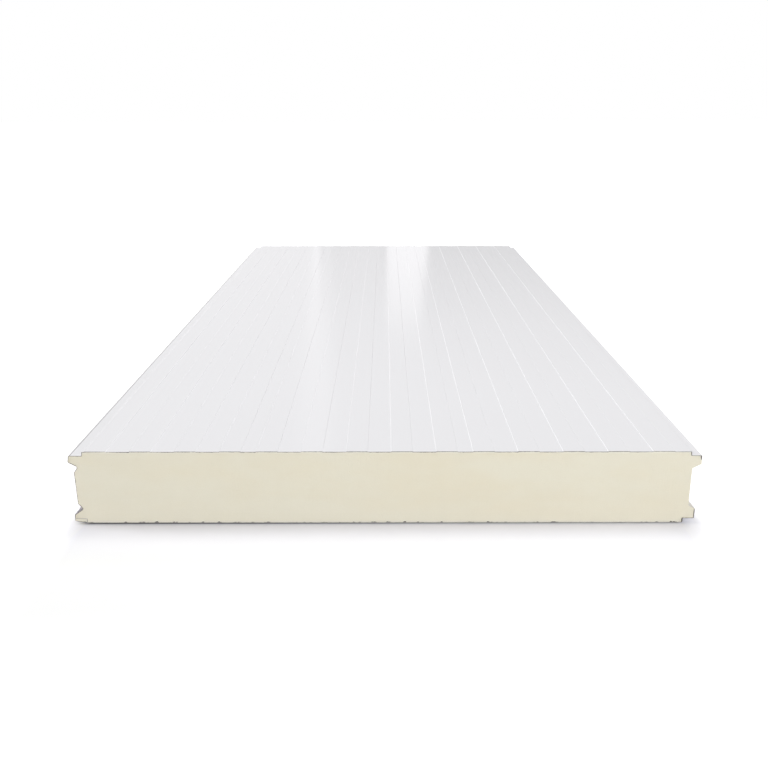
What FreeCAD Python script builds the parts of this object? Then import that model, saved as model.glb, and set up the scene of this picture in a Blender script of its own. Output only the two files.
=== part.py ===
import FreeCAD, Part
import math
import os

# Insulated sandwich panel: a rigid foam core between two roll-formed steel facings, lying on
# its lower facing. Millimetres. The origin is at the middle of the underside: +Y runs along
# the panel, +Z up through its thickness, -X towards the tongue edge and +X towards the
# recessed edge. Each piece is one section, drawn in the XZ plane and extruded along Y.

# Overall size
PANEL_LENGTH = 2500.0
PANEL_WIDTH = 1000.0  # across the noses of the two upper lips
PANEL_THICKNESS = 120.0

# Steel facings
SHEET = 0.5
BEND_RADIUS = 0.6  # inside radius of every fold
REBATE_DEPTH = 7.0  # from a facing's flat down to the ledge beside it
RISER_LEAN = 0.5  # how far each rebate's riser leans outwards

# Shallow bands rolled into the upper facing
BAND_HEIGHT = 0.6
BAND_WIDTH = 33.0  # flat top of one raised band
BAND_RAMP = 1.0  # width of the slope on each side of it
BAND_PITCH = 70.9  # from band to band within a group
GROUP_PITCH = 58.0  # from the last band of one group to the first of the next
BAND_GROUPS = (4, 5, 5)  # bands in each group, from the tongue edge
FIRST_BAND = 21.0  # centre of the first band, from the edge of the flat
BAND_MARGIN = 2.5  # least flat left between a band and the riser

# Upper lip of the tongue edge
TONGUE_LEDGE = 21.0  # ledge between the riser and the lip's corner
TONGUE_LIP_LEAN = 1.5  # the nose stands this far past the lip's corner
TONGUE_LIP_DROP = 11.0  # from the ledge down to the nose
TONGUE_RETURN_RUN = 13.4  # sheet folded back under the nose: inwards
TONGUE_RETURN_DROP = 6.9  # and downwards
TONGUE_NOTCH_RUN = 0.4  # bare foam from the end of the sheet to the notch: inwards
TONGUE_NOTCH_DROP = 3.0  # and downwards

# Foam tongue, which stands out between the two notches of its edge
TONGUE_TOP_RUN = 4.8
TONGUE_TOP_DROP = 6.8
TONGUE_FOOT_RUN = 6.6
TONGUE_FOOT_DROP = 7.7

# Lower lip of the tongue edge
LOWER_SETBACK = 5.0  # both lower noses stand back from the upper ones
LOWER_LEDGE = 18.3  # ledge between the riser and the lower nose
LOWER_NOSE_HEIGHT = 7.0
LOWER_RETURN_RUN = 13.0  # sheet folded back over the nose: inwards
LOWER_RETURN_RISE = 8.6  # and upwards
LOWER_NOTCH_RISE = 2.2  # bare foam from the end of the sheet up to the notch

# Upper lip of the recessed edge
RECESS_LEDGE = 16.0
RECESS_FLANGE = 7.5  # sheet turned down over the lip
RECESS_NOSE_TAPER = 0.1  # bare foam below the sheet: inwards
RECESS_NOSE_DROP = 7.3  # and downwards
RECESS_UNDERCUT_RUN = 14.0  # underside of the lip: inwards
RECESS_UNDERCUT_DROP = 6.8  # and downwards

# Lower lip of the recessed edge
RECESS_FOOT_RUN = 7.9  # slope from the foot of the recess to the lip: outwards
RECESS_FOOT_DROP = 5.0  # and downwards
RECESS_LAND = 2.5  # level top of the lip, up to its sheet
RECESS_LOWER_LEDGE = 17.6  # ledge between the riser and the lip's lower corner
RECESS_LOWER_LEAN = 0.6  # the nose stands this far past that corner
RECESS_LOWER_HEIGHT = 16.5

# Rounding of the foam's own corners
FOAM_RADIUS = 1.5
RECESS_RADIUS = 3.5  # both inner corners of the recess


def turn_at(before, corner, after):
    """Turn of a path at one corner in radians, positive to the left."""
    first = (corner[0] - before[0], corner[1] - before[1])
    second = (after[0] - corner[0], after[1] - corner[1])
    cross = first[0] * second[1] - first[1] * second[0]
    along = first[0] * second[0] + first[1] * second[1]
    return math.atan2(cross, along)


def toward(point, target, distance):
    """The point at a distance from point, on the way to target."""
    run = (target[0] - point[0], target[1] - point[1])
    share = distance / math.hypot(*run)
    return (point[0] + share * run[0], point[1] + share * run[1])


def offset_path(points, distance):
    """The same path moved to its right, with mitred corners."""
    normals = []
    for start, end in zip(points, points[1:]):
        length = math.dist(start, end)
        normals.append(((end[1] - start[1]) / length, (start[0] - end[0]) / length))
    moved = []
    for point, before, after in zip(points, normals[:1] + normals, normals + normals[-1:]):
        share = distance / (1.0 + before[0] * after[0] + before[1] * after[1])
        moved.append((point[0] + share * (before[0] + after[0]),
                      point[1] + share * (before[1] + after[1])))
    return moved


def line(start, end):
    """One straight edge between two points of the section."""
    return Part.LineSegment(FreeCAD.Vector(start[0], 0.0, start[1]),
                            FreeCAD.Vector(end[0], 0.0, end[1])).toShape()


def arc(start, middle, end):
    """One arc through three points of the section."""
    points = [FreeCAD.Vector(x, 0.0, z) for x, z in (start, middle, end)]
    return Part.Arc(*points).toShape()


def rounded_edges(points, radii):
    """Straight edges along points, with each corner rounded to its own radius."""
    edges = []
    start = points[0]
    for before, corner, after, radius in zip(points, points[1:], points[2:], radii[1:]):
        if radius <= 0.0:
            edges.append(line(start, corner))
            start = corner
            continue
        half_turn = abs(turn_at(before, corner, after)) / 2.0
        trim = radius * math.tan(half_turn)
        arc_start = toward(corner, before, trim)
        arc_end = toward(corner, after, trim)
        chord_middle = ((arc_start[0] + arc_end[0]) / 2.0, (arc_start[1] + arc_end[1]) / 2.0)
        arc_middle = toward(corner, chord_middle, radius / math.cos(half_turn) - radius)
        edges.append(line(start, arc_start))
        edges.append(arc(arc_start, arc_middle, arc_end))
        start = arc_end
    edges.append(line(start, points[-1]))
    return edges


class Facing:
    """A folded sheet, drawn along its outer surface with the panel on its right."""

    def __init__(self, points, folds):
        self.outer = points
        self.inner = offset_path(points, SHEET)
        self.outer_radii = [0.0] * len(points)
        self.inner_radii = [0.0] * len(points)
        for corner in folds:
            index = points.index(corner)
            outside = turn_at(points[index - 1], corner, points[index + 1]) < 0.0
            self.outer_radii[index] = BEND_RADIUS + (SHEET if outside else 0.0)
            self.inner_radii[index] = BEND_RADIUS + (0.0 if outside else SHEET)

    def bonded_edges(self):
        """The inner surface, which the foam is bonded to."""
        return rounded_edges(self.inner, self.inner_radii)

    def section(self):
        """All the edges round the sheet's section, with its two cut ends."""
        ends = [line(self.outer[0], self.inner[0]), line(self.inner[-1], self.outer[-1])]
        return ends + self.bonded_edges() + rounded_edges(self.outer, self.outer_radii)


def band_points(flat_start, flat_end):
    """Corners of the bands between the two ends of the upper facing's flat."""
    points = []
    centre = flat_start + FIRST_BAND
    half_top = BAND_WIDTH / 2.0
    half_foot = half_top + BAND_RAMP
    low = PANEL_THICKNESS - BAND_HEIGHT
    for count in BAND_GROUPS:
        for _ in range(count):
            fits_start = centre - half_foot >= flat_start + BAND_MARGIN
            fits_end = centre + half_foot <= flat_end - BAND_MARGIN
            if fits_start and fits_end:
                points += [(centre - half_foot, low), (centre - half_top, PANEL_THICKNESS),
                           (centre + half_top, PANEL_THICKNESS), (centre + half_foot, low)]
            centre += BAND_PITCH
        centre += GROUP_PITCH - BAND_PITCH
    return points


def upper_facing():
    """Upper facing, from the fold under the tongue edge's lip to the flange on the other."""
    nose = (-PANEL_WIDTH / 2.0, PANEL_THICKNESS - REBATE_DEPTH - TONGUE_LIP_DROP)
    sheet_end = (nose[0] + TONGUE_RETURN_RUN, nose[1] - TONGUE_RETURN_DROP)
    ledge = PANEL_THICKNESS - REBATE_DEPTH
    lip = (nose[0] + TONGUE_LIP_LEAN, ledge)
    riser_foot = (lip[0] + TONGUE_LEDGE, ledge)
    far_lip = (PANEL_WIDTH / 2.0, ledge)
    far_foot = (far_lip[0] - RECESS_LEDGE, ledge)
    flange_end = (far_lip[0], ledge - RECESS_FLANGE)
    low = PANEL_THICKNESS - BAND_HEIGHT
    flat_start = (riser_foot[0] + RISER_LEAN, low)
    flat_end = (far_foot[0] - RISER_LEAN, low)
    folds = [nose, lip, riser_foot, flat_start, flat_end, far_foot, far_lip]
    bands = band_points(flat_start[0], flat_end[0])
    points = [sheet_end] + folds[:4] + bands + folds[4:] + [flange_end]
    return Facing(points, folds)


def lower_facing():
    """Lower facing, from the top of the recessed edge's lip to the fold over the other."""
    far_nose_x = PANEL_WIDTH / 2.0 - LOWER_SETBACK
    far_lip = (far_nose_x - RECESS_LOWER_LEAN, REBATE_DEPTH)
    far_nose = (far_nose_x, far_lip[1] + RECESS_LOWER_HEIGHT)
    far_foot = (far_lip[0] - RECESS_LOWER_LEDGE, REBATE_DEPTH)
    flat_start = (far_foot[0] - RISER_LEAN, 0.0)
    lip = (-PANEL_WIDTH / 2.0 + LOWER_SETBACK, REBATE_DEPTH)
    nose = (lip[0], lip[1] + LOWER_NOSE_HEIGHT)
    sheet_end = (nose[0] + LOWER_RETURN_RUN, nose[1] + LOWER_RETURN_RISE)
    riser_foot = (lip[0] + LOWER_LEDGE, REBATE_DEPTH)
    flat_end = (riser_foot[0] + RISER_LEAN, 0.0)
    folds = [far_lip, far_foot, flat_start, flat_end, riser_foot, lip, nose]
    return Facing([far_nose] + folds + [sheet_end], folds)


def recess_edges(upper, lower):
    """Bare foam of the recessed edge, down from the upper flange to the lower lip."""
    flange_end = upper.outer[-1]
    lip_top = lower.inner[0]
    nose = (flange_end[0] - RECESS_NOSE_TAPER, flange_end[1] - RECESS_NOSE_DROP)
    notch = (nose[0] - RECESS_UNDERCUT_RUN, nose[1] - RECESS_UNDERCUT_DROP)
    land = (lip_top[0] - RECESS_LAND, lip_top[1])
    foot = (land[0] - RECESS_FOOT_RUN, land[1] + RECESS_FOOT_DROP)
    points = [upper.inner[-1], flange_end, nose, notch, foot, land, lip_top]
    radii = [0.0, 0.0, FOAM_RADIUS, RECESS_RADIUS, RECESS_RADIUS, 0.0, 0.0]
    return rounded_edges(points, radii)


def tongue_edges(upper, lower):
    """Bare foam of the tongue edge, up from the lower lip to the upper one."""
    lower_end = lower.outer[-1]
    upper_end = upper.outer[0]
    lower_notch = (lower_end[0], lower_end[1] + LOWER_NOTCH_RISE)
    foot = (lower_notch[0] - TONGUE_FOOT_RUN, lower_notch[1] + TONGUE_FOOT_DROP)
    upper_notch = (upper_end[0] + TONGUE_NOTCH_RUN, upper_end[1] - TONGUE_NOTCH_DROP)
    top = (upper_notch[0] - TONGUE_TOP_RUN, upper_notch[1] - TONGUE_TOP_DROP)
    points = [lower.inner[-1], lower_end, lower_notch, foot, top, upper_notch, upper_end,
              upper.inner[0]]
    radii = [0.0, 0.0, 0.0, FOAM_RADIUS, FOAM_RADIUS, 0.0, 0.0, 0.0]
    return rounded_edges(points, radii)


def extrude(edges):
    """A closed section as one solid over the panel's whole length."""
    face = Part.Face(Part.Wire(Part.__sortEdges__(edges)))
    face.translate(FreeCAD.Vector(0.0, -PANEL_LENGTH / 2.0, 0.0))
    return face.extrude(FreeCAD.Vector(0.0, PANEL_LENGTH, 0.0))


def build():
    """Every piece of the panel by name."""
    upper = upper_facing()
    lower = lower_facing()
    core = (upper.bonded_edges() + recess_edges(upper, lower)
            + lower.bonded_edges() + tongue_edges(upper, lower))
    return {
        "foam_core": extrude(core),
        "upper_facing": extrude(upper.section()),
        "lower_facing": extrude(lower.section()),
    }


os.makedirs("parts", exist_ok=True)
for name, piece in build().items():
    piece.exportStep("parts/" + name + ".step")
    print(name, "valid", piece.isValid(), "volume", round(piece.Volume), "mm3")
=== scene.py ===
import math

import bpy
import numpy as np
from bpy.props import FloatProperty, FloatVectorProperty, IntProperty, PointerProperty
from bpy.types import Operator, Panel, PropertyGroup
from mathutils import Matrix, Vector


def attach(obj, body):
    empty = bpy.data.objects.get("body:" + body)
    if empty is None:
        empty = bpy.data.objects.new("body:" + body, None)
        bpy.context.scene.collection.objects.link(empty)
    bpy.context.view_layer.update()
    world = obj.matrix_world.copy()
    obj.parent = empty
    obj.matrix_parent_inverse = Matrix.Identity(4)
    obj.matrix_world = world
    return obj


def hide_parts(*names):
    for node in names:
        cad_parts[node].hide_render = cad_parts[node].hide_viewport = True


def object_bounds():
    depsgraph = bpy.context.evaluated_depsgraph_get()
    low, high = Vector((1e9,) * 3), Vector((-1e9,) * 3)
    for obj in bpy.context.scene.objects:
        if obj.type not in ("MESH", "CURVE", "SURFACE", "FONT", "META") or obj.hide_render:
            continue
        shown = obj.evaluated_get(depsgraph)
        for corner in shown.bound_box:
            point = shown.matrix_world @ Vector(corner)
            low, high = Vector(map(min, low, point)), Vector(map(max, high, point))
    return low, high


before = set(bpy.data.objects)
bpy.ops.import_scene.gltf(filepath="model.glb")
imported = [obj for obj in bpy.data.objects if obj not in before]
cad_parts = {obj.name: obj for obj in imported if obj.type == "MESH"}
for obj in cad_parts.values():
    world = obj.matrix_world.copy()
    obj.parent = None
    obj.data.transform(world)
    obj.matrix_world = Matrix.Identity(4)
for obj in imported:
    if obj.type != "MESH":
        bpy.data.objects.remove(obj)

bl_info = {
    "name": "Insulated Sandwich Panel",
    "version": (1, 0, 0),
    "blender": (4, 5, 0),
    "location": "3D View > Sidebar > Sandwich Panel",
    "description": "Sawn foam core, lacquered steel facings and a studio for a sandwich panel",
    "category": "Object",
}

CAD_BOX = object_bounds()
MM = 0.001
HALF_LENGTH = CAD_BOX[1].y

# Distances to either side of the panel's middle line
EDGE_START = 0.470     # the two edge sections lie beyond it
FLAT_EDGE = 0.474      # the flats end at the risers
BEDDING_EDGE = 0.4762  # the tongue side's bedding strip lies beyond it
BLOCK_REACH = 0.4852   # the risers lie within it
LIP_REACH = 0.488      # only the lips' outer edges lie beyond it

# Heights over the underside
BEDDING_TOP = 8.0 * MM
TOP_START = 118.8 * MM  # the upper flat and its bands lie above it
BARE_LEFT = (25.0 * MM, 94.0 * MM)  # where no steel covers the foam
BARE_RIGHT = (25.5 * MM, 104.0 * MM)

END_ROWS = 8  # rows of the foam's grid below the ledges, and above them
LIP_COLUMNS = 9
BURR_STEP = 0.75 * MM
BURR_ROOT = 0.22 * MM  # how deep a burr sits in what carries it
FLOOR_REACH = 40.0

WHITE = (1.0, 1.0, 1.0, 1.0)
DUST = (0.66, 0.65, 0.63, 1.0)
SMEARED_FOAM = (0.74, 0.72, 0.66, 1.0)
TORN_FOAM = (0.86, 0.845, 0.79)
# Painted light for the skin low in the recess, which lies in the upper lip's shade.
RECESS_PAINTED_LIGHT = (0.95, 0.93, 0.88, 1.0)
# Painted shadow for the floor under the panel.
UNDER_PANEL_PAINTED_SHADOW = (0.05, 0.04, 0.035, 1.0)
WALL_WHITE = (1.0, 0.985, 1.0, 1.0)

# Soft boxes: name, place, width, depth, setting with the power, and target
LAMPS = (
    ("top_soft_box", (0.0, 1.35, 8.0), 1.0, 5.2, "top_lamp", (0.0, 1.35, 0.0)),
    ("left_soft_box", (-5.5, 0.0, 4.6), 2.0, 2.0, "left_lamp", (0.0, 0.0, 0.06)),
    ("front_soft_box", (1.8, -5.5, 0.9), 2.0, 2.0, "front_lamp", (0.0, 0.0, 0.06)),
)


# ---- settings

def setting(kind, **limits):
    """A maker of settings of one kind, from a name, a description and a default."""
    def make(name, description, default):
        return kind(name=name, description=description, default=default, **limits)
    return make


length = setting(FloatProperty, unit="LENGTH", min=0.0, precision=5)
share = setting(FloatProperty, subtype="FACTOR", min=0.0, max=1.0)
amount = setting(FloatProperty, min=0.0)
whole = setting(IntProperty, min=0)
turn = setting(FloatProperty, unit="ROTATION")
point = setting(FloatVectorProperty, unit="LENGTH", size=3)
colour = setting(FloatVectorProperty, subtype="COLOR", size=3, min=0.0, max=1.0)


class FoamSettings(PropertyGroup):
    """The rigid foam core."""
    tint: colour("Foam", "Colour of freshly sawn foam", (0.775, 0.742, 0.618))
    aged: colour("Aged foam", "Colour of its warmer patches", (0.765, 0.712, 0.565))
    skin: colour("Skin", "Colour of the moulded skin on the long edges", (0.77, 0.71, 0.52))
    cell: length("Cell", "Width of one foam cell", 0.7 * MM)
    grid: length("Grid", "Widest spacing of points on the sawn ends", 3.0 * MM)
    setback: length("Set-back", "From the cut steel to the sawn foam", 0.45 * MM)
    waves: length("Saw waves", "Height of the waves that the saw left", 0.10 * MM)
    crumble: length("Crumbled edge", "Foam lost beside the upper steel", 0.6 * MM)
    sink: length("Skin waves", "Depth of the hollows in the moulded skin", 0.35 * MM)
    rind: colour("Rind", "Colour of the skin where the saw cut through it", (0.36, 0.33, 0.31))
    rind_width: length("Rind width", "Width of the skin's cut edge on the tongue", 0.8 * MM)


class SteelSettings(PropertyGroup):
    """The facings, their cut edges and what the saw left on them."""
    lacquer: colour("Lacquer", "Colour of the lacquered face", (0.815, 0.813, 0.832))
    # The two slope factors below are painted light: they lighten slopes facing the tongue and
    # darken slopes facing the recess.
    tongue_slope_highlight: amount("Tongue slopes", "Factor on slopes that face the tongue", 1.25)
    recess_slope_shade: amount("Recess slopes", "Factor on slopes that face the recess", 0.98)
    # The rim colour darkens the outer few millimetres of the tongue side; no cause for it is
    # modelled.
    rim: colour("Rim", "Colour of the rubbed rim of the tongue side's lip", (0.36, 0.355, 0.36))
    # This colour is painted shade: the tongue side's lower lip lies in the tongue's shade.
    fold: colour("Fold", "Colour of the lacquer on the tongue side's lower lip",
                 (0.40, 0.37, 0.42))
    bare: colour("Bare steel", "Colour of the cut steel", (0.33, 0.31, 0.29))
    roughness: share("Roughness", "Roughness of the lacquer", 0.14)
    sway: length("Sway", "Height of the long waves between the bands", 0.25 * MM)
    peel: length("Orange peel", "Height of the lacquer's fine ripple", 0.004 * MM)
    burr: colour("Burr", "Colour of the scorched burr", (0.070, 0.062, 0.058))
    flat_burr: length("Flat burr", "Middle height of the burr on the upper flat", 0.40 * MM)
    foot_burr: length("Foot burr", "Middle height of the burr on the lower flat", 0.04 * MM)
    tears: length("Tears", "Height of the tears in the lower flat's cut edge", 0.8 * MM)
    lip_burr: length("Lip burr", "Middle height of the burr round the lips", 0.30 * MM)
    crumbs: whole("Crumbs", "Grains of foam along each cut line", 900)
    grain: length("Grain", "Middle radius of a grain", 0.35 * MM)


class StageSettings(PropertyGroup):
    """Floor, backdrop, lamps and camera."""
    floor: colour("Floor", "Colour of the floor", (0.90, 0.90, 0.90))
    # This colour is a painted tint: it offsets the warm light that the foam throws on the floor
    # close by.
    near_floor_bounce_tint: colour("Floor near by", "Colour of the floor close to the panel",
                       (0.905, 0.905, 0.965))
    side_lift: amount("Side lift", "Light added to the floor beside the long edges", 0.31)
    end_lift: amount("End lift", "Light added to the floor beyond the two ends", 0.08)
    far_lift: amount("Far lift", "Light added to the floor far from the panel", 0.70)
    gap: length("Gap", "From the panel down to the floor, over thin battens", 1.8 * MM)
    fall: length("Fall", "How much lower the floor lies at the tongue side", 0.7 * MM)
    sky: amount("Sky", "Level of the light from all round", 0.42)
    top_lamp: amount("Top lamp", "Power of the long soft box overhead, in watts", 300.0)
    left_lamp: amount("Left lamp", "Power of the soft box on the left, in watts", 105.0)
    front_lamp: amount("Front lamp", "Power of the low soft box in front, in watts", 100.0)
    focal: amount("Focal length", "Of the camera, in millimetres", 49.296)
    eye: point("Camera", "Where the camera stands", (0.00052, -2.82104, 0.64573))
    dip: turn("Dip", "How far the camera looks down", math.radians(14.834))
    swing: turn("Swing", "How far the camera looks to the left", math.radians(0.0292))
    roll: turn("Roll", "How far the camera leans over", math.radians(0.06428))


# ---- shapes

def ripples(u, v, shortest, longest, seed, count=28):
    """Sum of plane waves over (u, v), each with its own heading, phase and length, scaled so
    that the sum's spread is one."""
    rng = np.random.default_rng(seed)
    heading = rng.uniform(0.0, 2.0 * np.pi, count)
    wave = shortest * (longest / shortest) ** rng.uniform(0.0, 1.0, count)
    phase = rng.uniform(0.0, 2.0 * np.pi, count)
    across = u[..., None] * np.cos(heading) + np.asarray(v)[..., None] * np.sin(heading)
    return np.sin(2.0 * np.pi * across / wave + phase).sum(-1) * math.sqrt(2.0 / count)


def section_corners(name):
    """Each corner (x, z) of a CAD node's section once."""
    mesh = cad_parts[name].data
    flat = np.empty(len(mesh.vertices) * 3, np.float32)
    mesh.vertices.foreach_get("co", flat)
    corners = np.round(flat.reshape(-1, 3)[:, (0, 2)].astype(float), 6)
    return np.unique(corners, axis=0)


def by_height(corners, side):
    """The heights from low to high, and the outermost x at each on one side."""
    order = np.lexsort((-side * corners[:, 0], corners[:, 1]))
    heights, first = np.unique(corners[order, 1], return_index=True)
    return heights, corners[order][first, 0]


def add_piece(name, shape, material, crease=35.0):
    """A piece of points and faces that rides on the panel, smooth up to the crease angle."""
    points, faces = shape
    mesh = bpy.data.meshes.new(name)
    mesh.from_pydata(points.tolist(), [], faces.tolist())
    mesh.update()
    mesh.shade_smooth()
    mesh.set_sharp_from_angle(angle=math.radians(crease))
    mesh.materials.append(material)
    piece = bpy.data.objects.new(name, mesh)
    bpy.context.scene.collection.objects.link(piece)
    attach(piece, "root")
    return piece


class FoamOutline:
    """Where the foam's section lies, read from the framed node."""

    def __init__(self):
        corners = section_corners("foam_core")
        x, z = corners.T
        reach = np.abs(x)
        lips = reach > LIP_REACH
        self.ledge_low = z[lips].min()
        self.ledge_high = z[lips].max()
        self.bottom = z.min()
        self.low, self.high, self.edge = {}, {}, {}
        for side in (-1, 1):
            here = x * side > EDGE_START
            body = here & (reach < BLOCK_REACH)
            self.low[side] = by_height(corners[body & (z <= self.ledge_low)], side)
            self.high[side] = by_height(corners[body & (z >= self.ledge_high)], side)
            lip = (z >= self.ledge_low) & (z <= self.ledge_high)
            self.edge[side] = by_height(corners[here & lip], side)
        top = corners[z > TOP_START]
        top = top[np.argsort(top[:, 0])]
        self.top_x, self.top_z = top.T

    def inner_x(self, side, z):
        """Side of the block between the risers: the risers, and a straight line between."""
        low_z, low_x = self.low[side]
        high_z, high_x = self.high[side]
        return np.interp(z, np.append(low_z, high_z), np.append(low_x, high_x))

    def outer_x(self, side, z):
        """Edge of the foam between the two ledges."""
        heights, x = self.edge[side]
        return np.interp(z, heights, x)

    def top(self, x):
        """Height of the foam under the upper facing."""
        return np.interp(x, self.top_x, self.top_z)


def thinned(values, least):
    """The values in order, without those that follow another too closely."""
    values = np.unique(values)
    bins = np.floor((values - values[0]) / least + 0.5)
    return values[np.unique(bins, return_index=True)[1]]


def eased(start, end, first, widest):
    """Stations whose steps grow from the first one at each end towards the middle: the
    running sum of a half sine of steps."""
    count = max(4, int(2.0 * (end - start) / (first + widest)))
    steps = first + (widest - first) * np.sin(np.pi * (np.arange(count) + 0.5) / count)
    sums = np.concatenate(([0.0], np.cumsum(steps)))
    return start + (end - start) * sums / sums[-1]


def foam_rows(outline, spacing):
    """Heights of the grid's rows, the share by which each of the last few climbs from the
    upper ledges to the top, and the numbers of the ledges' rows."""
    heights = np.concatenate([outline.edge[-1][0], outline.edge[1][0]])
    middle = eased(outline.ledge_low, outline.ledge_high, 0.8 * MM, 1.3 * spacing)
    middle = thinned(np.concatenate([middle, heights]), 0.9 * MM)
    middle[0], middle[-1] = outline.ledge_low, outline.ledge_high
    crowded = np.linspace(0.0, 1.0, END_ROWS + 1)
    low = outline.bottom + (outline.ledge_low - outline.bottom) * crowded ** 1.5
    rows = np.concatenate([low[:-1], middle, np.full(END_ROWS, outline.ledge_high)])
    still = np.zeros(END_ROWS + len(middle))
    climb = np.concatenate([still, 1.0 - crowded[-2::-1] ** 1.5])
    return rows, climb, (END_ROWS, END_ROWS + len(middle) - 1)


def foam_columns(outline, spacing):
    """Places across the block: every corner of the top, and an even row between them."""
    start, end = outline.top_x[0], outline.top_x[-1]
    plain = np.linspace(start, end, int((end - start) / spacing))
    near = np.abs(plain[:, None] - outline.top_x).min(1)
    return np.unique(np.concatenate([outline.top_x, plain[near > 0.3 * spacing]]))


def between(start, end, shares):
    """Columns at these shares of the way from the start to the end of each row."""
    return start[:, None] + shares * (end - start)[:, None]


def foam_grid(outline, spacing):
    """Points (x, z) of the sawn end as rows from edge to edge, with the lips' columns at
    either side, and the numbers of the ledges' rows."""
    rows, climb, ledges = foam_rows(outline, spacing)
    across = foam_columns(outline, spacing)
    top = outline.top(across)
    z = rows[:, None] + climb[:, None] * (top - outline.ledge_high)
    side_z = rows + climb * (top[0] - outline.ledge_high)
    left = outline.inner_x(-1, side_z)
    right = outline.inner_x(1, side_z)
    x = between(left, right, (across - across[0]) / (across[-1] - across[0]))

    shares = np.linspace(0.0, 1.0, LIP_COLUMNS + 1)[:-1]
    left_lip = between(outline.outer_x(-1, side_z), left, shares)
    right_lip = between(outline.outer_x(1, side_z), right, shares[::-1])
    lip_z = np.repeat(side_z[:, None], LIP_COLUMNS, axis=1)
    x = np.concatenate([left_lip, x, right_lip], axis=1)
    z = np.concatenate([lip_z, z, lip_z], axis=1)
    return x, z, ledges


def edge_loop(rows, columns, ledges):
    """Row and column numbers once round the sawn end, anticlockwise seen from the front."""
    low, high = ledges
    top, last = rows - 1, columns - 1
    left, right = LIP_COLUMNS, last - LIP_COLUMNS
    corners = [(0, left), (0, right), (low, right), (low, last), (high, last), (high, right),
               (top, right), (top, left), (high, left), (high, 0), (low, 0), (low, left)]
    sides = []
    for start, end in zip(corners, corners[1:] + corners[:1]):
        count = abs(end[0] - start[0]) + abs(end[1] - start[1])
        sides.append(np.linspace(start, end, count, endpoint=False))
    return tuple(np.concatenate(sides).round().astype(int).T)


def sawn_depth(x, z, settings, seed):
    """How far the sawn foam stands behind the end of the steel: the set-back, the saw's
    waves, and a ragged loss that dies away from the steel lines."""
    long_waves = ripples(x, z, 0.05, 0.22, seed)
    short_waves = ripples(x, z * 0.4, 0.007, 0.02, seed + 1)
    ragged = np.clip(0.6 + 0.5 * ripples(x, 0.0, 0.004, 0.03, seed + 2), 0.0, 2.0)
    fade = 0.9 * MM
    loss = np.exp(-np.abs(z[-1] - z) / fade) + 0.2 * np.exp(-(z - z.min()) / fade)
    waves = settings.waves * (1.2 * long_waves + 0.35 * short_waves)
    return settings.setback + np.abs(waves) + settings.crumble * (ragged * loss)


def used_points(shape, ledges):
    """Which points lie in the foam: all of the block's, and the lips' between the ledges."""
    row = np.arange(shape[0])[:, None]
    column = np.arange(shape[1])[None, :]
    block = (column >= LIP_COLUMNS) & (column <= shape[1] - 1 - LIP_COLUMNS)
    lips = (row >= ledges[0]) & (row <= ledges[1])
    return block | lips


def grid_faces(used, number):
    """Faces between four neighbours of the grid that all lie in the foam."""
    whole = used[:-1, :-1] & used[1:, :-1] & used[:-1, 1:] & used[1:, 1:]
    quad = np.stack([number[:-1, :-1], number[:-1, 1:], number[1:, 1:], number[1:, :-1]], -1)
    return quad[whole]


def band_faces(rings):
    """Faces between each ring of point numbers and the next one, closed round the ring."""
    ahead = np.roll(rings, -1, axis=1)
    return np.stack([rings[:-1], rings[1:], ahead[1:], ahead[:-1]], -1).reshape(-1, 4)


def skin_points(stations, x, z, settings):
    """Points of the long sides: the section at each station, sunk by long waves where no
    steel covers the foam."""
    side = np.sign(x)
    low, high = [np.where(side < 0.0, left, right)
                 for left, right in zip(BARE_LEFT, BARE_RIGHT)]
    fade = 6.0 * MM
    bare = np.clip((z - low) / fade, 0.0, 1.0) * np.clip((high - z) / fade, 0.0, 1.0)
    hollow = ripples(stations[:, None] + 3.0 * side, z * 1.5, 0.06, 0.5, seed=51)
    sunk_x = x - side * (settings.sink * bare * (0.5 + 0.5 * np.tanh(hollow)))
    return np.stack(np.broadcast_arrays(sunk_x, stations[:, None], z), -1)


def foam_mesh(settings):
    """The foam as one closed skin: a sawn end at each end of the panel, and its edge loop
    carried along the length."""
    x, z, ledges = foam_grid(FoamOutline(), settings.grid)
    used = used_points(x.shape, ledges)
    number = np.cumsum(used.ravel()).reshape(x.shape) - 1
    count = int(used.sum())
    points = []
    for side, seed in ((-1, 11), (1, 31)):
        y = side * (HALF_LENGTH - sawn_depth(x, z, settings, seed))
        points.append(np.stack([x, y, z], -1)[used])
    front = grid_faces(used, number)
    back = front[:, ::-1] + count

    around = edge_loop(*x.shape, ledges)
    loop = number[around][None, :]
    stations = eased(-HALF_LENGTH, HALF_LENGTH, 8.0 * MM, 110.0 * MM)[1:-1]
    points.append(skin_points(stations, x[around], z[around], settings).reshape(-1, 3))
    rings = 2 * count + np.arange(len(stations) * loop.size).reshape(len(stations), -1)
    sides = band_faces(np.concatenate([loop, rings, loop + count]))
    return np.concatenate(points), np.concatenate([front, back, sides])


def sheet_end(side, upper):
    """Height at which a facing's folded lip ends."""
    corners = section_corners("upper_facing" if upper else "lower_facing")
    heights = corners[corners[:, 0] * side > EDGE_START, 1]
    return heights.min() if upper else heights.max()


def stations_along(path, to_right, spare=0.4 * MM):
    """Evenly spaced stations along a line of corners, with a spare length at each end: x, z
    and the unit normal to the line's right or left."""
    run = np.concatenate([[0.0], np.cumsum(np.linalg.norm(np.diff(path, axis=0), axis=1))])
    stations = np.arange(spare, run[-1] - spare, BURR_STEP)
    x = np.interp(stations, run, path[:, 0])
    z = np.interp(stations, run, path[:, 1])
    ahead_x, ahead_z = np.gradient(x), np.gradient(z)
    size = np.hypot(ahead_x, ahead_z)
    sign = 1.0 if to_right else -1.0
    return x, z, sign * ahead_z / size, -sign * ahead_x / size


def bare_path(outline, side):
    """Stations up the foam's bare edge between the two facings' lips."""
    heights, x = outline.edge[side]
    kept = (heights >= sheet_end(side, False)) & (heights <= sheet_end(side, True))
    return stations_along(np.stack([x[kept], heights[kept]], -1), side < 0)


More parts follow.
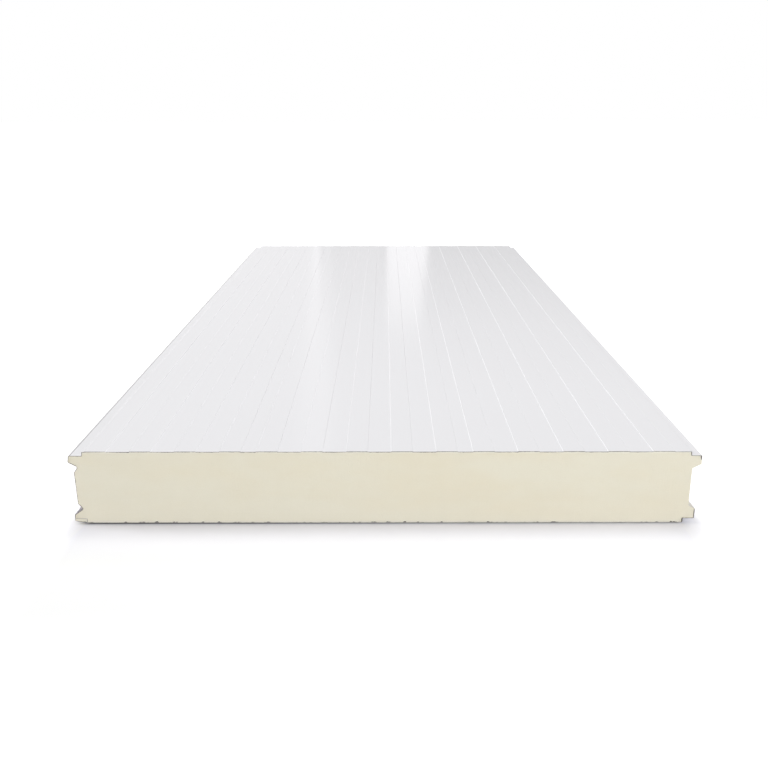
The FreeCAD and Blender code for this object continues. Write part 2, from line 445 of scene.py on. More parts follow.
def lip_line(outline, side, upper):
    """Corners of a facing's inner face at its lip, from low to high: the foam's own, and one
    just short of the sheet's end that lies no further out."""
    level = outline.ledge_high if upper else outline.ledge_low
    tip = sheet_end(side, upper) + (0.3 * MM if upper else -0.3 * MM)
    low, high = sorted((tip, level))
    heights, x = outline.edge[side]
    kept = (heights > low) & (heights < high)
    line = np.stack([x[kept], heights[kept]], -1)
    last = line[0 if upper else -1, 0] if len(line) else outline.outer_x(side, level)
    tip_x = side * min(abs(last), abs(outline.outer_x(side, tip)))
    line = np.concatenate([line, [(tip_x, tip)]])
    return line[np.argsort(line[:, 1])]


def steel_path(outline, upper):
    """Stations along a facing's inner face from lip to lip, with normals into the foam."""
    corners = section_corners("foam_core")
    level = outline.ledge_high if upper else outline.ledge_low
    across = corners[corners[:, 1] >= level] if upper else corners[corners[:, 1] <= level]
    across = across[np.argsort(across[:, 0], kind="stable")]
    left = lip_line(outline, -1, upper)
    right = lip_line(outline, 1, upper)
    ends = (left, right[::-1]) if upper else (left[::-1], right)
    return stations_along(np.concatenate([ends[0], across, ends[1]]), upper)


def burr_strip(path, height, side, seed, front=0.03 * MM, thick=0.26 * MM):
    """A closed ragged strip along the cut edge. It stands from just outside the line towards
    the foam, and its height is the middle height times a ragged sum of waves."""
    x, z, into_x, into_z = path
    run = np.arange(len(x)) * BURR_STEP
    ragged = 1.0 + 0.30 * ripples(run, 0.0, 0.003, 0.02, seed)
    ragged = ragged + 0.20 * ripples(run, 0.0, 0.04, 0.3, seed + 1)
    reach = height * np.clip(ragged, 0.15, 2.0)
    face = np.full_like(x, side * (HALF_LENGTH - front))
    deep = thick * (1.0 + 0.2 * ripples(run, 0.0, 0.004, 0.03, seed + 2))
    behind = face - side * deep
    profile = [(face, -BURR_ROOT), (face, reach), (behind, reach), (behind, -BURR_ROOT)]
    points = np.stack([np.stack([x + into_x * out, y, z + into_z * out], -1)
                       for y, out in profile], 1)
    ring = np.arange(len(x) * 4).reshape(-1, 4)
    walls = np.roll(band_faces(ring)[:, ::-1], 1, axis=1)
    faces = np.concatenate([walls, [ring[0, ::-1], ring[-1]]])
    to_right = (np.gradient(x) * into_z - np.gradient(z) * into_x).sum() < 0.0
    if (side > 0) == to_right:
        faces = faces[:, ::-1]
    return points.reshape(-1, 3), faces


def burr_heights(path, settings, upper):
    """Middle height of the burr at each station. It is higher on the recess side's upright
    steel, next to nothing over the bedding strip, and torn on the lower flat."""
    x, z, into_x, _ = path
    on_edge, on_riser = (1.6, 0.8) if upper else (0.9, 3.4)
    factor = np.where(x > LIP_REACH, on_edge, on_riser)
    lip = settings.lip_burr * (1.0 + factor * (x > FLAT_EDGE) * np.abs(into_x))
    lip = np.where((x < -BEDDING_EDGE) & (z < BEDDING_TOP), 0.02 * MM, lip)
    flat = np.clip((FLAT_EDGE - np.abs(x)) / (4.0 * MM), 0.0, 1.0)
    if upper:
        return lip + flat * (settings.flat_burr - lip)
    torn = np.clip(ripples(x, 0.0, 0.006, 0.035, seed=96) - 0.5, 0.0, 1.5)
    return lip + flat * (settings.foot_burr - lip) + settings.tears * torn * flat


def both_ends(path, height, seeds, *strip):
    """The same burr strip at the front end and at the back end, as one mesh."""
    (front, front_faces), (back, back_faces) = [
        burr_strip(path, height, side, seed, *strip) for side, seed in zip((-1, 1), seeds)]
    return (np.concatenate([front, back]),
            np.concatenate([front_faces, back_faces + len(front)]))


def bedding_corners():
    """Corners of the strip bedded under the tongue side's lower ledge: below the lip, at the
    outer foot, and at the foot of the riser."""
    corners = section_corners("lower_facing")
    left = corners[:, 0].min() + 0.1 * MM
    lip = corners[corners[:, 0] < left + 3.0 * MM, 1]
    flat = corners[corners[:, 1] < 0.05 * MM, 0]
    return np.array([(left, lip.min() + 0.3 * MM), (left, 3.0 * MM),
                     (flat.min() + 0.5 * MM, 0.3 * MM)])


def bedding_mesh(seed):
    """The bedded strip: a four-cornered section carried along the panel, whose outer foot
    rises and falls a little with long waves."""
    top, foot, heel = bedding_corners()
    reach = HALF_LENGTH - 0.3 * MM
    y = eased(-reach, reach, 4.0 * MM, 60.0 * MM)
    wave = ripples(y, 0.0, 0.05, 0.4, seed)
    still = np.clip((HALF_LENGTH - np.abs(y)) / 0.02, 0.0, 1.0)
    section = np.array([top, foot, heel, (heel[0], top[1])])
    points = np.stack(np.broadcast_arrays(section[:, 0], y[:, None], section[:, 1]), -1)
    points[:, 1, 2] += 0.25 * MM * still * np.clip(wave, -1.5, 1.5)
    points[:, 1, 0] += 0.20 * MM * still * np.abs(wave)
    ring = np.arange(len(y) * 4).reshape(-1, 4)
    caps = [ring[0], ring[-1, ::-1]]
    return points.reshape(-1, 3), np.concatenate([band_faces(ring), caps])


def grain_shape():
    """A twenty-sided grain of radius one: the corners of three golden rectangles."""
    golden = (1.0 + math.sqrt(5.0)) / 2.0
    points = np.array([np.roll((u, v * golden, 0.0), turns) for turns in range(3)
                       for v in (1.0, -1.0) for u in (-1.0, 1.0)])
    faces = np.array([
        (0, 11, 5), (0, 5, 1), (0, 1, 7), (0, 7, 10), (0, 10, 11),
        (1, 5, 9), (5, 11, 4), (11, 10, 2), (10, 7, 6), (7, 1, 8),
        (3, 9, 4), (3, 4, 2), (3, 2, 6), (3, 6, 8), (3, 8, 9),
        (4, 9, 5), (2, 4, 11), (6, 2, 10), (8, 6, 7), (9, 8, 1)])
    return points / np.linalg.norm(points[0]), faces


def crumb_places(settings, rng):
    """Where the grains lie, as rows of x, end, z and distance from the steel: at random
    along both sheets, and fewer further from the steel."""
    outline = FoamOutline()
    places = []
    for upper, portion in ((False, 1.0), (True, 0.35)):
        path = np.stack(steel_path(outline, upper))
        count = int(settings.crumbs * portion)
        for side in (-1, 1):
            spot = rng.uniform(2.0, path.shape[1] - 3.0, count)
            x, z, into_x, into_z = [np.interp(spot, np.arange(len(row)), row) for row in path]
            drop = rng.exponential(0.8 * MM, count) + 0.5 * MM
            places.append(np.stack([x + into_x * drop, np.full(count, side),
                                    z + into_z * drop, drop], -1))
    return np.concatenate(places)


def crumb_mesh(settings, seed):
    """Grains of foam against the sawn end beside the steel: one grain, repeated, each
    stretched and turned at random, and too small to reach the sheet's far side."""
    rng = np.random.default_rng(seed)
    shape, faces = grain_shape()
    places = crumb_places(settings, rng)
    count = len(places)
    corners = len(shape)
    radius = settings.grain * np.exp(0.35 * rng.standard_normal(count))
    radius = np.minimum(radius, (0.7 * places[:, 3] + 0.4 * MM) / 1.5)
    stretch = radius[:, None] * rng.uniform(0.6, 1.3, (count, 3))
    bulk = shape[None] * stretch[:, None, :] * rng.uniform(0.8, 1.15, (count, corners, 1))
    angle = rng.uniform(0.0, 2.0 * np.pi, count)[:, None]
    turned_x = bulk[..., 0] * np.cos(angle) - bulk[..., 2] * np.sin(angle)
    turned_z = bulk[..., 0] * np.sin(angle) + bulk[..., 2] * np.cos(angle)
    reach = np.abs(bulk[..., 1]).max(1, keepdims=True)
    y = places[:, 1:2] * (HALF_LENGTH - 0.08 * MM - reach) + bulk[..., 1]
    points = np.stack([places[:, :1] + turned_x, y, places[:, 2:3] + turned_z], -1)
    numbered = faces[None] + corners * np.arange(count)[:, None, None]
    return points.reshape(-1, 3), numbered.reshape(-1, 3)


# ---- materials

def feed(tree, made, inputs):
    """Gives a node's inputs their values, or joins them to the sockets that feed them."""
    for key, value in inputs.items():
        if isinstance(value, bpy.types.NodeSocket):
            tree.links.new(value, made.inputs[key])
        else:
            made.inputs[key].default_value = value


def node(tree, kind, inputs, **settings):
    """Adds a node and feeds its inputs."""
    made = tree.nodes.new(kind)
    for name, value in settings.items():
        setattr(made, name, value)
    feed(tree, made, inputs)
    return made


def math_node(tree, operation, *values):
    """One operation on values or sockets."""
    inputs = dict(enumerate(values))
    return node(tree, "ShaderNodeMath", inputs, operation=operation).outputs[0]


def chained(operation):
    """A maker of nodes that join values by one operation."""
    def join(tree, first, *others):
        for other in others:
            first = math_node(tree, operation, first, other)
        return first
    return join


product = chained("MULTIPLY")
total = chained("ADD")
minus = chained("SUBTRACT")
highest = chained("MAXIMUM")


def noise(tree, place, lumps, detail=2.0, roughness=0.5):
    """Soft noise with about this many lumps to the metre, or so many along each axis."""
    if isinstance(lumps, tuple):
        place = node(tree, "ShaderNodeMapping", {"Vector": place, "Scale": lumps}).outputs[0]
        lumps = 1.0
    inputs = {"Vector": place, "Scale": lumps, "Detail": detail, "Roughness": roughness}
    return node(tree, "ShaderNodeTexNoise", inputs).outputs[0]


def ramp(tree, value, low, high, to_low=0.0, to_high=1.0):
    """The value carried from one range to another and kept within it."""
    inputs = {0: value, 1: low, 2: high, 3: to_low, 4: to_high}
    return node(tree, "ShaderNodeMapRange", inputs, clamp=True).outputs[0]


def blend(tree, factor, first, second):
    """A mix of two colours or colour sockets."""
    inputs = {0: factor, 6: first, 7: second}
    return node(tree, "ShaderNodeMix", inputs, data_type="RGBA").outputs[2]


def tone(rgb, level=1.0):
    """A colour with full cover, made lighter or darker."""
    return (*(level * part for part in rgb), 1.0)


def bump(tree, *layers):
    """Layers of relief, each a height from nought to one and its full size in metres."""
    inputs = {"Strength": 1.0}
    for height, distance in layers:
        inputs.update(Height=height, Distance=distance)
        inputs["Normal"] = node(tree, "ShaderNodeBump", inputs).outputs[0]
    return inputs["Normal"]


def empty_tree(owner):
    """The node tree of a material or world, with its nodes cleared."""
    owner.use_nodes = True
    owner.node_tree.nodes.clear()
    return owner.node_tree


def new_material(name):
    """An empty material with its one shader, and its points' places."""
    material = bpy.data.materials.new(name)
    tree = empty_tree(material)
    shader = node(tree, "ShaderNodeBsdfPrincipled", {})
    node(tree, "ShaderNodeOutputMaterial", {"Surface": shader.outputs[0]})
    return material, tree, shader, object_place(tree)


def object_place(tree):
    """Where each point lies on the object."""
    return node(tree, "ShaderNodeTexCoord", {}).outputs["Object"]


def split(tree, place):
    """The place's x, y and z, by their capital letters."""
    return node(tree, "ShaderNodeSeparateXYZ", {0: place}).outputs


def along(tree, axis):
    """How squarely the surface faces along an axis."""
    normal = node(tree, "ShaderNodeNewGeometry", {}).outputs["True Normal"]
    made = node(tree, "ShaderNodeVectorMath", {0: normal, 1: axis}, operation="DOT_PRODUCT")
    return made.outputs["Value"]


def endwise(tree):
    """How squarely the surface faces along the panel, either way."""
    return math_node(tree, "ABSOLUTE", along(tree, (0.0, 1.0, 0.0)))


def lacquer_colour(tree, settings, place, x, dust):
    """White lacquer with soft patches and dust. Slopes that face the tongue carry a painted
    highlight, and slopes that face the recess carry painted shade and light, both varying
    across the panel. The tongue side's rim is coloured darker."""
    lacquer = settings.lacquer
    patches = noise(tree, place, (3.0, 1.0, 3.0), 3.0)
    clean = blend(tree, patches, tone(lacquer, 0.985), tone(lacquer, 1.01))
    base = blend(tree, product(tree, dust, 0.3), clean, DUST)
    # Painted highlight on slopes facing the tongue, and painted shade and light on slopes
    # facing the recess, each changing across the panel.
    near = blend(tree, ramp(tree, x, -0.15, 0.0), tone(lacquer, 1.06),
                 tone(lacquer, settings.tongue_slope_highlight))
    far = blend(tree, ramp(tree, x, -0.36, -0.24), tone(lacquer, 1.10),
                tone(lacquer, settings.recess_slope_shade))
    far = blend(tree, ramp(tree, x, 0.0, 0.15), far, tone(lacquer, 1.15))
    lean = along(tree, (1.0, 0.0, 0.0))
    base = blend(tree, ramp(tree, lean, -0.2, -0.4), base, near)
    base = blend(tree, ramp(tree, lean, 0.2, 0.4), base, far)
    # The tongue side's outer rim is coloured darker.
    rim = ramp(tree, x, CAD_BOX[0].x + 3.7 * MM, CAD_BOX[0].x + 5.1 * MM, 0.90, 0.0)
    return blend(tree, rim, base, tone(settings.rim))


def smeared_share(tree, x, z):
    """How thickly foam covers the cut steel: on the foot and the left lower ledge."""
    ledge = product(tree, ramp(tree, x, -0.4765, -0.4745, 0.75, 0.0),
                    ramp(tree, z, 7.5 * MM, 8.5 * MM, 1.0, 0.0))
    return highest(tree, ledge, ramp(tree, z, 0.8 * MM, 1.2 * MM, 0.85, 0.0))


def cut_steel_colour(tree, settings, place, smeared):
    """Bare drawn steel, with foam smeared over it."""
    drawn = noise(tree, place, (900.0, 40.0, 2500.0), 3.0)
    bare = blend(tree, drawn, tone(settings.bare, 0.6), tone(settings.bare, 1.35))
    return blend(tree, smeared, bare, SMEARED_FOAM)


def steel_relief(tree, settings, place, cut):
    """The sheet's long soft waves, the lacquer's fine ripple, and saw marks on the cuts."""
    sway = noise(tree, place, (16.0, 0.7, 16.0), 1.0)
    ripple = noise(tree, place, 650.0, 2.0)
    saw = noise(tree, place, (2200.0, 1.0, 900.0), 2.0)
    return bump(tree, (sway, settings.sway), (ripple, settings.peel),
                (product(tree, saw, cut), 0.08 * MM))


def lacquered_steel(settings):
    """Glossy white lacquer with dust, and scuffs along the length. The tongue side's lower
    lip is rougher and carries painted shade, darkest up in its pocket under the tongue, and
    the cut ends show bare steel."""
    material, tree, shader, place = new_material("white_lacquered_steel")
    axes = split(tree, place)
    x, z = axes["X"], axes["Z"]
    cut = math_node(tree, "GREATER_THAN", endwise(tree), 0.6)
    dust = ramp(tree, noise(tree, place, 420.0, 3.0, 0.6), 0.62, 0.78)
    # Painted shade on the tongue side's lower lip, darkest up in the pocket under the tongue;
    # the same mask makes the lip rougher and less glossy.
    fold = product(tree, ramp(tree, z, 24.0 * MM, 27.0 * MM, 0.9, 0.0),
                   ramp(tree, x, -0.480, -0.477, 1.0, 0.0))
    smeared = smeared_share(tree, x, z)
    pocket_shade = blend(tree, ramp(tree, z, 18.0 * MM, 23.0 * MM), tone(settings.fold),
                 tone(settings.fold, 0.35))
    lacquer = blend(tree, fold, lacquer_colour(tree, settings, place, x, dust), pocket_shade)
    base = blend(tree, cut, lacquer, cut_steel_colour(tree, settings, place, smeared))

    scuffs = noise(tree, place, (300.0, 6.0, 300.0), 4.0, 0.6)
    gloss = ramp(tree, scuffs, 0.3, 0.75, settings.roughness, settings.roughness + 0.06)
    rough = highest(tree, gloss, product(tree, dust, 0.35), product(tree, fold, 0.75),
                    product(tree, cut, 0.42))
    mirror = ramp(tree, fold, 0.0, 1.0, 0.5, 0.1)
    metal = product(tree, cut, ramp(tree, smeared, 0.0, 0.8, 0.8, 0.0))
    feed(tree, shader, {"Base Color": base, "Roughness": rough, "Metallic": metal,
                        "Specular IOR Level": mirror,
                        "Normal": steel_relief(tree, settings, place, cut)})
    return material


def sawn_colour(tree, settings, place, z, pale):
    """Freshly sawn foam: warmer patches and darker cells, painted light towards the foot to
    offset the shade near the floor, and whiter where it tore along both steel lines, which
    low down also lifts that shade."""
    patches = noise(tree, place, (5.0, 2.0, 14.0), 4.0, 0.55)
    mottle = noise(tree, place, 55.0, 3.0, 0.6)
    tint = blend(tree, ramp(tree, patches, 0.42, 0.72), tone(settings.tint, pale),
                 tone(settings.aged, pale))
    tint = blend(tree, ramp(tree, mottle, 0.35, 0.75, 0.0, 0.12), tint,
                 tone(settings.aged, 0.97 * pale))
    # Painted light: paler towards the foot, offsetting the shade near the floor.
    foot = total(tree, ramp(tree, z, 0.0, 12.0 * MM, 0.45, 0.0),
                 ramp(tree, z, 0.0, 42.0 * MM, 0.55, 0.0))
    tint = blend(tree, foot, tint, tone(settings.tint, 1.10 * pale))
    # Whiter torn foam along both steel lines; low down the band also serves as painted light
    # against the shade near the floor.
    torn = highest(tree, ramp(tree, z, 1.0 * MM, 4.5 * MM, 0.40, 0.0),
                   ramp(tree, z, 115.5 * MM, 118.5 * MM, 0.0, 0.45))
    tint = blend(tree, torn, tint, tone(TORN_FOAM, pale))
    fine = noise(tree, place, 0.45 / settings.cell, 3.0, 0.65)
    return blend(tree, ramp(tree, fine, 0.3, 0.7, 0.0, 0.16), tint,
                 tone(settings.aged, 0.86 * pale))


def skin_colour(tree, settings, place, axes, pinhole):
    """The moulded skin: flow marks and dark pinholes, and painted light low in the recess,
    where the upper lip shades it.
    """
    flow = noise(tree, place, (8.0, 2.5, 30.0), 4.0, 0.6)
    skin = blend(tree, flow, tone(settings.skin, 0.93), tone(settings.tint))
    skin = blend(tree, product(tree, pinhole, 0.5), skin, tone(settings.skin, 0.6))
    # Painted light: the skin low in the recess is made paler against the upper lip's shade.
    recess = product(tree, ramp(tree, axes["Z"], 30.0 * MM, 36.0 * MM, 1.0, 0.0),
                     ramp(tree, axes["X"], 0.472, 0.476))
    return blend(tree, recess, skin, RECESS_PAINTED_LIGHT)


def foam_relief(tree, settings, place, sawn, pinhole):
    """Saw marks and opened cells on the sawn ends, soft lumps and sunk pinholes."""
    cells = node(tree, "ShaderNodeTexVoronoi",
                 {"Vector": place, "Scale": 1.0 / settings.cell, "Randomness": 1.0})
    opened = ramp(tree, cells.outputs["Distance"], 0.12, 0.55)
    saw = noise(tree, place, (420.0, 1.0, 26.0), 3.0)
    lumps = noise(tree, place, (60.0, 22.0, 60.0), 3.0)
    return bump(tree, (product(tree, saw, sawn), 0.16 * MM),
                (product(tree, opened, sawn), 0.10 * MM), (lumps, 0.15 * MM),
                (product(tree, pinhole, -1.0), 0.25 * MM))


def rigid_foam(settings, name="sawn_rigid_foam", pale=1.0):
    """Rigid cream foam: sawn on faces that look along the panel, and elsewhere a smoother,
    darker moulded skin."""
    material, tree, shader, place = new_material(name)
    axes = split(tree, place)
    sawn = ramp(tree, endwise(tree), 0.4, 0.7)
    holes = node(tree, "ShaderNodeTexVoronoi", {"Vector": place, "Scale": 160.0})
    pinhole = ramp(tree, holes.outputs["Distance"], 0.10, 0.16, 1.0, 0.0)
    base = blend(tree, sawn, skin_colour(tree, settings, place, axes, pinhole),
                 sawn_colour(tree, settings, place, axes["Z"], pale))
    rough = ramp(tree, sawn, 0.0, 1.0, 0.62, 0.95)
    feed(tree, shader, {"Base Color": base, "Roughness": rough, "Specular IOR Level": 0.2,
                        "Normal": foam_relief(tree, settings, place, sawn, pinhole)})
    return material


def cut_rind(settings):
    """The tongue's dense skin where the saw cut through it, smeared and dark."""
    material, tree, shader, place = new_material("cut_foam_rind")
    smear = noise(tree, place, 240.0, 4.0, 0.6)
    base = blend(tree, ramp(tree, smear, 0.3, 0.7), tone(settings.rind, 0.8),
                 tone(settings.rind, 1.3))
    relief = bump(tree, (noise(tree, place, 1400.0, 3.0), 0.15 * MM))
    feed(tree, shader, {"Base Color": base, "Roughness": 0.8, "Normal": relief})
    return material


def torn_steel(settings):
    """The dark scorched burr that the saw left on the steel."""
    material, tree, shader, place = new_material("torn_steel")
    spots = noise(tree, place, 380.0, 4.0, 0.65)
    base = blend(tree, ramp(tree, spots, 0.35, 0.7), tone(settings.burr, 0.7),
                 tone(settings.bare, 0.55))
    rough = ramp(tree, spots, 0.3, 0.7, 0.45, 0.7)
    metal = ramp(tree, spots, 0.4, 0.7, 0.2, 0.7)
    relief = bump(tree, (noise(tree, place, 1600.0, 3.0), 0.12 * MM))
    feed(tree, shader, {"Base Color": base, "Roughness": rough, "Metallic": metal,
                        "Normal": relief})
    return material


def floor_lift(tree, settings, side, end, away, x):
    """Light added to the floor: beside the long edges past a shadow that widens beyond the
    ends, in front of the ends, far away, and a little close up."""
    width = ramp(tree, end, 0.0, 0.3, 0.02, 0.20)
    beside = ramp(tree, side, 0.0, width, 0.0, settings.side_lift)
    beyond = ramp(tree, end, 0.05, 0.17, 0.0, settings.end_lift)
    far = ramp(tree, away, 0.3, 3.0, 0.0, settings.far_lift)
    close = product(tree, ramp(tree, end, 0.0, 0.006), ramp(tree, x, -0.4, 0.4, 0.014, 0.060))
    return total(tree, beside, beyond, far, close)


def floor_colour(tree, settings, place, away):
    """A white floor with a faint grain, painted a little bluer near the panel against the
    foam's warm bounce light, and painted dark under it as shadow.
    """
    grain = noise(tree, place, 160.0, 3.0)
    plain = blend(tree, grain, tone(settings.floor, 0.997), tone(settings.floor, 1.003))
    # Painted tint near the panel, against the foam's warm bounce light.
    near = blend(tree, ramp(tree, away, 0.02, 0.14), tone(settings.near_floor_bounce_tint), plain)
    # Painted shadow: the floor under the panel is made dark.
    return blend(tree, ramp(tree, away, -0.006, 0.0, 1.0, 0.0), near, UNDER_PANEL_PAINTED_SHADOW)


def floor_material(settings):
    """Matt white floor, lifted where it is seen or mirrored, so that the shadow stays in
    front of each end."""
    material, tree, shader, place = new_material("white_floor")
    axes = split(tree, place)
    middle = total(tree, axes["X"], 2.0 * MM)
    side = minus(tree, math_node(tree, "ABSOLUTE", middle), FLAT_EDGE)
    end = minus(tree, math_node(tree, "ABSOLUTE", axes["Y"]), HALF_LENGTH)
    away = highest(tree, side, end)
    lift = floor_lift(tree, settings, side, end, away, axes["X"])
    feed(tree, shader, {"Base Color": floor_colour(tree, settings, place, away),
                        "Roughness": 0.9, "Specular IOR Level": 0.0,
                        "Emission Color": WHITE,
                        "Emission Strength": product(tree, seen_ray(tree), lift)})
    return material


def seen_ray(tree):
    """One for a ray from the camera or a mirror or through glass, and nought for light."""
    path = node(tree, "ShaderNodeLightPath", {}).outputs
    return highest(tree, path["Is Camera Ray"], path["Is Glossy Ray"],
                   path["Is Transmission Ray"])


def wall_level(tree, x, z):
    """Brightness of the far wall: dim low down, pale on the left and a little paler in the
    middle, with a tall window and a slanted narrow strip."""
    height = ramp(tree, z, 0.30, 1.15, 0.56, 0.88)
    level = highest(tree, height, ramp(tree, x, -0.36, -0.32, 0.86, 0.0))
    middle = product(tree, ramp(tree, x, -0.33, -0.30), ramp(tree, x, -0.03, 0.0, 1.0, 0.0),
                     ramp(tree, z, 0.3, 1.1, 0.13, 0.0))
    level = total(tree, level, middle)
    beyond = minus(tree, x, ramp(tree, z, 0.35, 0.90, 0.25, 0.19))
    window = product(tree, ramp(tree, x, -0.005, 0.015),
                     ramp(tree, beyond, -0.02, 0.02, 1.0, 0.0),
                     ramp(tree, z, 0.74, 0.93, 1.07, 0.0))
    level = highest(tree, level, window)
    edge = minus(tree, x, ramp(tree, z, 0.3, 1.5, -0.38, -0.51))
    strip = product(tree, ramp(tree, edge, -0.01, 0.01), ramp(tree, x, -0.31, -0.29, 0.16, 0.0))
    return total(tree, level, strip)


def wall_material():
    """The far wall of the studio, as the lacquer mirrors it."""
    material = bpy.data.materials.new("studio_wall")
    tree = empty_tree(material)
    axes = split(tree, object_place(tree))
    level = wall_level(tree, axes["X"], axes["Z"])
    light = node(tree, "ShaderNodeEmission", {"Color": WALL_WHITE, "Strength": level})
    node(tree, "ShaderNodeOutputMaterial", {"Surface": light.outputs[0]})
    return material


# ---- stage

def stage_plane(name, corners, material):
    """One flat four-cornered sheet of the studio."""
    mesh = bpy.data.meshes.new(name)
    mesh.from_pydata(corners, [], [(0, 1, 2, 3)])
    mesh.materials.append(material)
    sheet = bpy.data.objects.new(name, mesh)
    bpy.context.scene.collection.objects.link(sheet)
    return sheet


def soft_box(name, place, width, depth, power, target):
    """A rectangular lamp that faces the target."""
    lamp = bpy.data.lights.new(name, "AREA")
    lamp.shape = "RECTANGLE"
    lamp.size = width
    lamp.size_y = depth
    lamp.energy = power
    box = bpy.data.objects.new(name, lamp)
    box.location = place
    away = Vector(place) - Vector(target)
    box.rotation_euler = away.to_track_quat("Z", "Y").to_euler()
    box.visible_camera = False
    box.visible_glossy = False
    bpy.context.scene.collection.objects.link(box)


def light_world(settings):
    """Light from all round at the sky's level, and plain white where it is seen."""
    world = bpy.data.worlds.new("studio")
    tree = empty_tree(world)
    level = ramp(tree, seen_ray(tree), 0.0, 1.0, settings.sky, 1.0)
    sky = node(tree, "ShaderNodeBackground", {"Color": WHITE, "Strength": level})
    node(tree, "ShaderNodeOutputWorld", {"Surface": sky.outputs[0]})
    bpy.context.scene.world = world


def add_floor(settings):
    """A wide floor just under the panel, a little lower at the tongue side."""
    far = FLOOR_REACH
    ground = CAD_BOX[0].z - settings.gap
    fall = settings.fall * far / CAD_BOX[1].x
    corners = [(-far, -far, ground - fall), (far, -far, ground + fall),
               (far, far, ground + fall), (-far, far, ground - fall)]
    stage_plane("floor", corners, floor_material(settings))


def add_wall():
    """The studio's far wall, which only the lacquer sees."""
    side, y, low, high = 2.6, 2.9, 0.12, 2.6
    corners = [(-side, y, low), (side, y, low), (side, y, high), (-side, y, high)]
    wall = stage_plane("studio_wall", corners, wall_material())
    for ray in ("camera", "diffuse", "shadow", "transmission"):
        setattr(wall, "visible_" + ray, False)


def add_camera(settings):
    """The camera in front of one end, a little above the panel."""
    lens = bpy.data.cameras.new("camera")
    lens.sensor_width = 36.0
    lens.lens = settings.focal
    camera = bpy.data.objects.new("camera", lens)
    camera.location = settings.eye
    camera.rotation_euler = (math.pi / 2.0 - settings.dip, settings.roll, settings.swing)
    bpy.context.scene.collection.objects.link(camera)
    bpy.context.scene.camera = camera


# ---- operators

class SANDWICH_OT_foam_core(Operator):
    """Makes the sawn foam core in place of the plain solid"""
    bl_idname = "sandwich.foam_core"
    bl_label = "Foam core"

    def execute(self, context):
        settings = context.scene.sandwich_foam
        finish = rigid_foam(settings)
        piece = add_piece("sawn_foam_core", foam_mesh(settings), finish)
        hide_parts("foam_core")
        return {"FINISHED"}


class SANDWICH_OT_facings(Operator):
    """Lacquers the two steel facings"""
    bl_idname = "sandwich.facings"
    bl_label = "Steel facings"

    def execute(self, context):
        finish = lacquered_steel(context.scene.sandwich_steel)
        for name in ("upper_facing", "lower_facing"):
            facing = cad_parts[name]
            for slot in facing.material_slots:
                slot.material = finish
        return {"FINISHED"}


class SANDWICH_OT_burrs(Operator):
    """Makes the torn burrs on the cut steel of both ends"""
    bl_idname = "sandwich.burrs"
    bl_label = "Cut steel burrs"

    def execute(self, context):
        settings = context.scene.sandwich_steel
        finish = torn_steel(settings)
        outline = FoamOutline()
        for name, upper, seeds in (("upper_burr", True, (51, 71)),
                                   ("lower_burr", False, (81, 101))):
            path = steel_path(outline, upper)
            height = burr_heights(path, settings, upper)
            add_piece(name, both_ends(path, height, seeds), finish)
        return {"FINISHED"}


class SANDWICH_OT_rind(Operator):
    """Makes the cut edge of the tongue's moulded skin at both ends"""
    bl_idname = "sandwich.rind"
    bl_label = "Cut foam skin"

    def execute(self, context):
        settings = context.scene.sandwich_foam
        path = bare_path(FoamOutline(), -1)
        foot = np.clip((40.0 * MM - path[1]) / (12.0 * MM), 0.0, 1.0)
        height = settings.rind_width * (1.0 + 0.8 * foot)
        rind = both_ends(path, height, (130, 132), 0.25 * MM, 1.1 * MM)
        add_piece("cut_tongue_skin", rind, cut_rind(settings))
        return {"FINISHED"}


class SANDWICH_OT_bedding(Operator):
    """Makes the pale strip under the tongue side's lower ledge and its dark cut edge"""
    bl_idname = "sandwich.bedding"
    bl_label = "Bedding strip"

    def execute(self, context):
        scene = context.scene
        finish = rigid_foam(scene.sandwich_foam, "pale_bedding_strip", 0.95)
        add_piece("bedding_strip", bedding_mesh(seed=141), finish)
        path = stations_along(bedding_corners(), False, 0.0)
        thin = np.clip((path[0] - path[0].min()) / (8.0 * MM), 0.0, 1.0)
        height = (0.35 + 0.45 * thin) * MM
        edge = both_ends(path, height, (150, 152), 0.15 * MM, 0.5 * MM)
        add_piece("bedding_strip_edge", edge, torn_steel(scene.sandwich_steel))
        return {"FINISHED"}


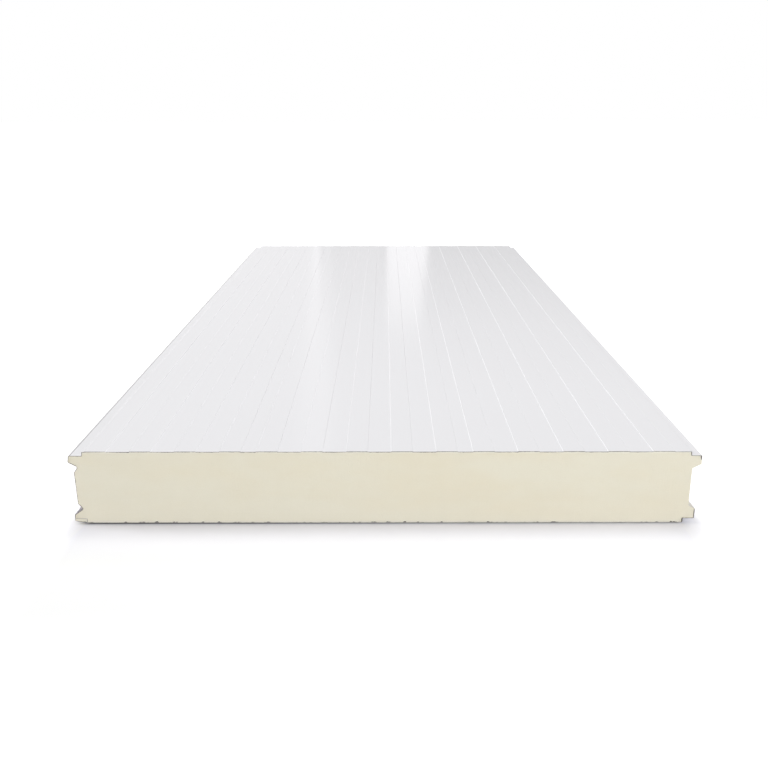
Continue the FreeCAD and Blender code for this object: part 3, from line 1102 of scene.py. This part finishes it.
class SANDWICH_OT_crumbs(Operator):
    """Scatters foam crumbs along the cut steel of both ends"""
    bl_idname = "sandwich.crumbs"
    bl_label = "Foam crumbs"

    def execute(self, context):
        scene = context.scene
        grains = crumb_mesh(scene.sandwich_steel, seed=81)
        finish = rigid_foam(scene.sandwich_foam, "foam_crumbs", 1.08)
        add_piece("foam_crumbs", grains, finish)
        return {"FINISHED"}


class SANDWICH_OT_stage(Operator):
    """Sets up the floor, the studio wall, the lamps and the camera"""
    bl_idname = "sandwich.stage"
    bl_label = "Studio"

    def execute(self, context):
        scene = context.scene
        settings = scene.sandwich_stage
        add_floor(settings)
        add_wall()
        light_world(settings)
        for name, place, width, depth, power, target in LAMPS:
            soft_box(name, place, width, depth, getattr(settings, power), target)
        add_camera(settings)
        scene.view_settings.view_transform = "Standard"
        return {"FINISHED"}


class SANDWICH_PT_sidebar(Panel):
    """Settings and makers of the sandwich panel"""
    bl_idname = "SANDWICH_PT_sidebar"
    bl_label = "Sandwich Panel"
    bl_space_type = "VIEW_3D"
    bl_region_type = "UI"
    bl_category = "Sandwich Panel"

    def draw(self, context):
        for maker in MAKERS:
            self.layout.operator(maker.bl_idname)
        for name, group in SETTINGS.items():
            box = self.layout.box()
            for key in group.__annotations__:
                box.prop(getattr(context.scene, name), key)


SETTINGS = {
    "sandwich_foam": FoamSettings,
    "sandwich_steel": SteelSettings,
    "sandwich_stage": StageSettings,
}
MAKERS = (SANDWICH_OT_foam_core, SANDWICH_OT_facings, SANDWICH_OT_burrs, SANDWICH_OT_rind,
          SANDWICH_OT_bedding, SANDWICH_OT_crumbs, SANDWICH_OT_stage)


def register():
    for group in (*SETTINGS.values(), *MAKERS, SANDWICH_PT_sidebar):
        bpy.utils.register_class(group)
    for name, group in SETTINGS.items():
        setattr(bpy.types.Scene, name, PointerProperty(type=group))


def unregister():
    for name in SETTINGS:
        delattr(bpy.types.Scene, name)
    for group in reversed((*SETTINGS.values(), *MAKERS, SANDWICH_PT_sidebar)):
        bpy.utils.unregister_class(group)


def main():
    """Makes everything in order."""
    register()
    for maker in MAKERS:
        getattr(bpy.ops.sandwich, maker.bl_idname.split(".")[1])()


if __name__ == "__main__":
    main()
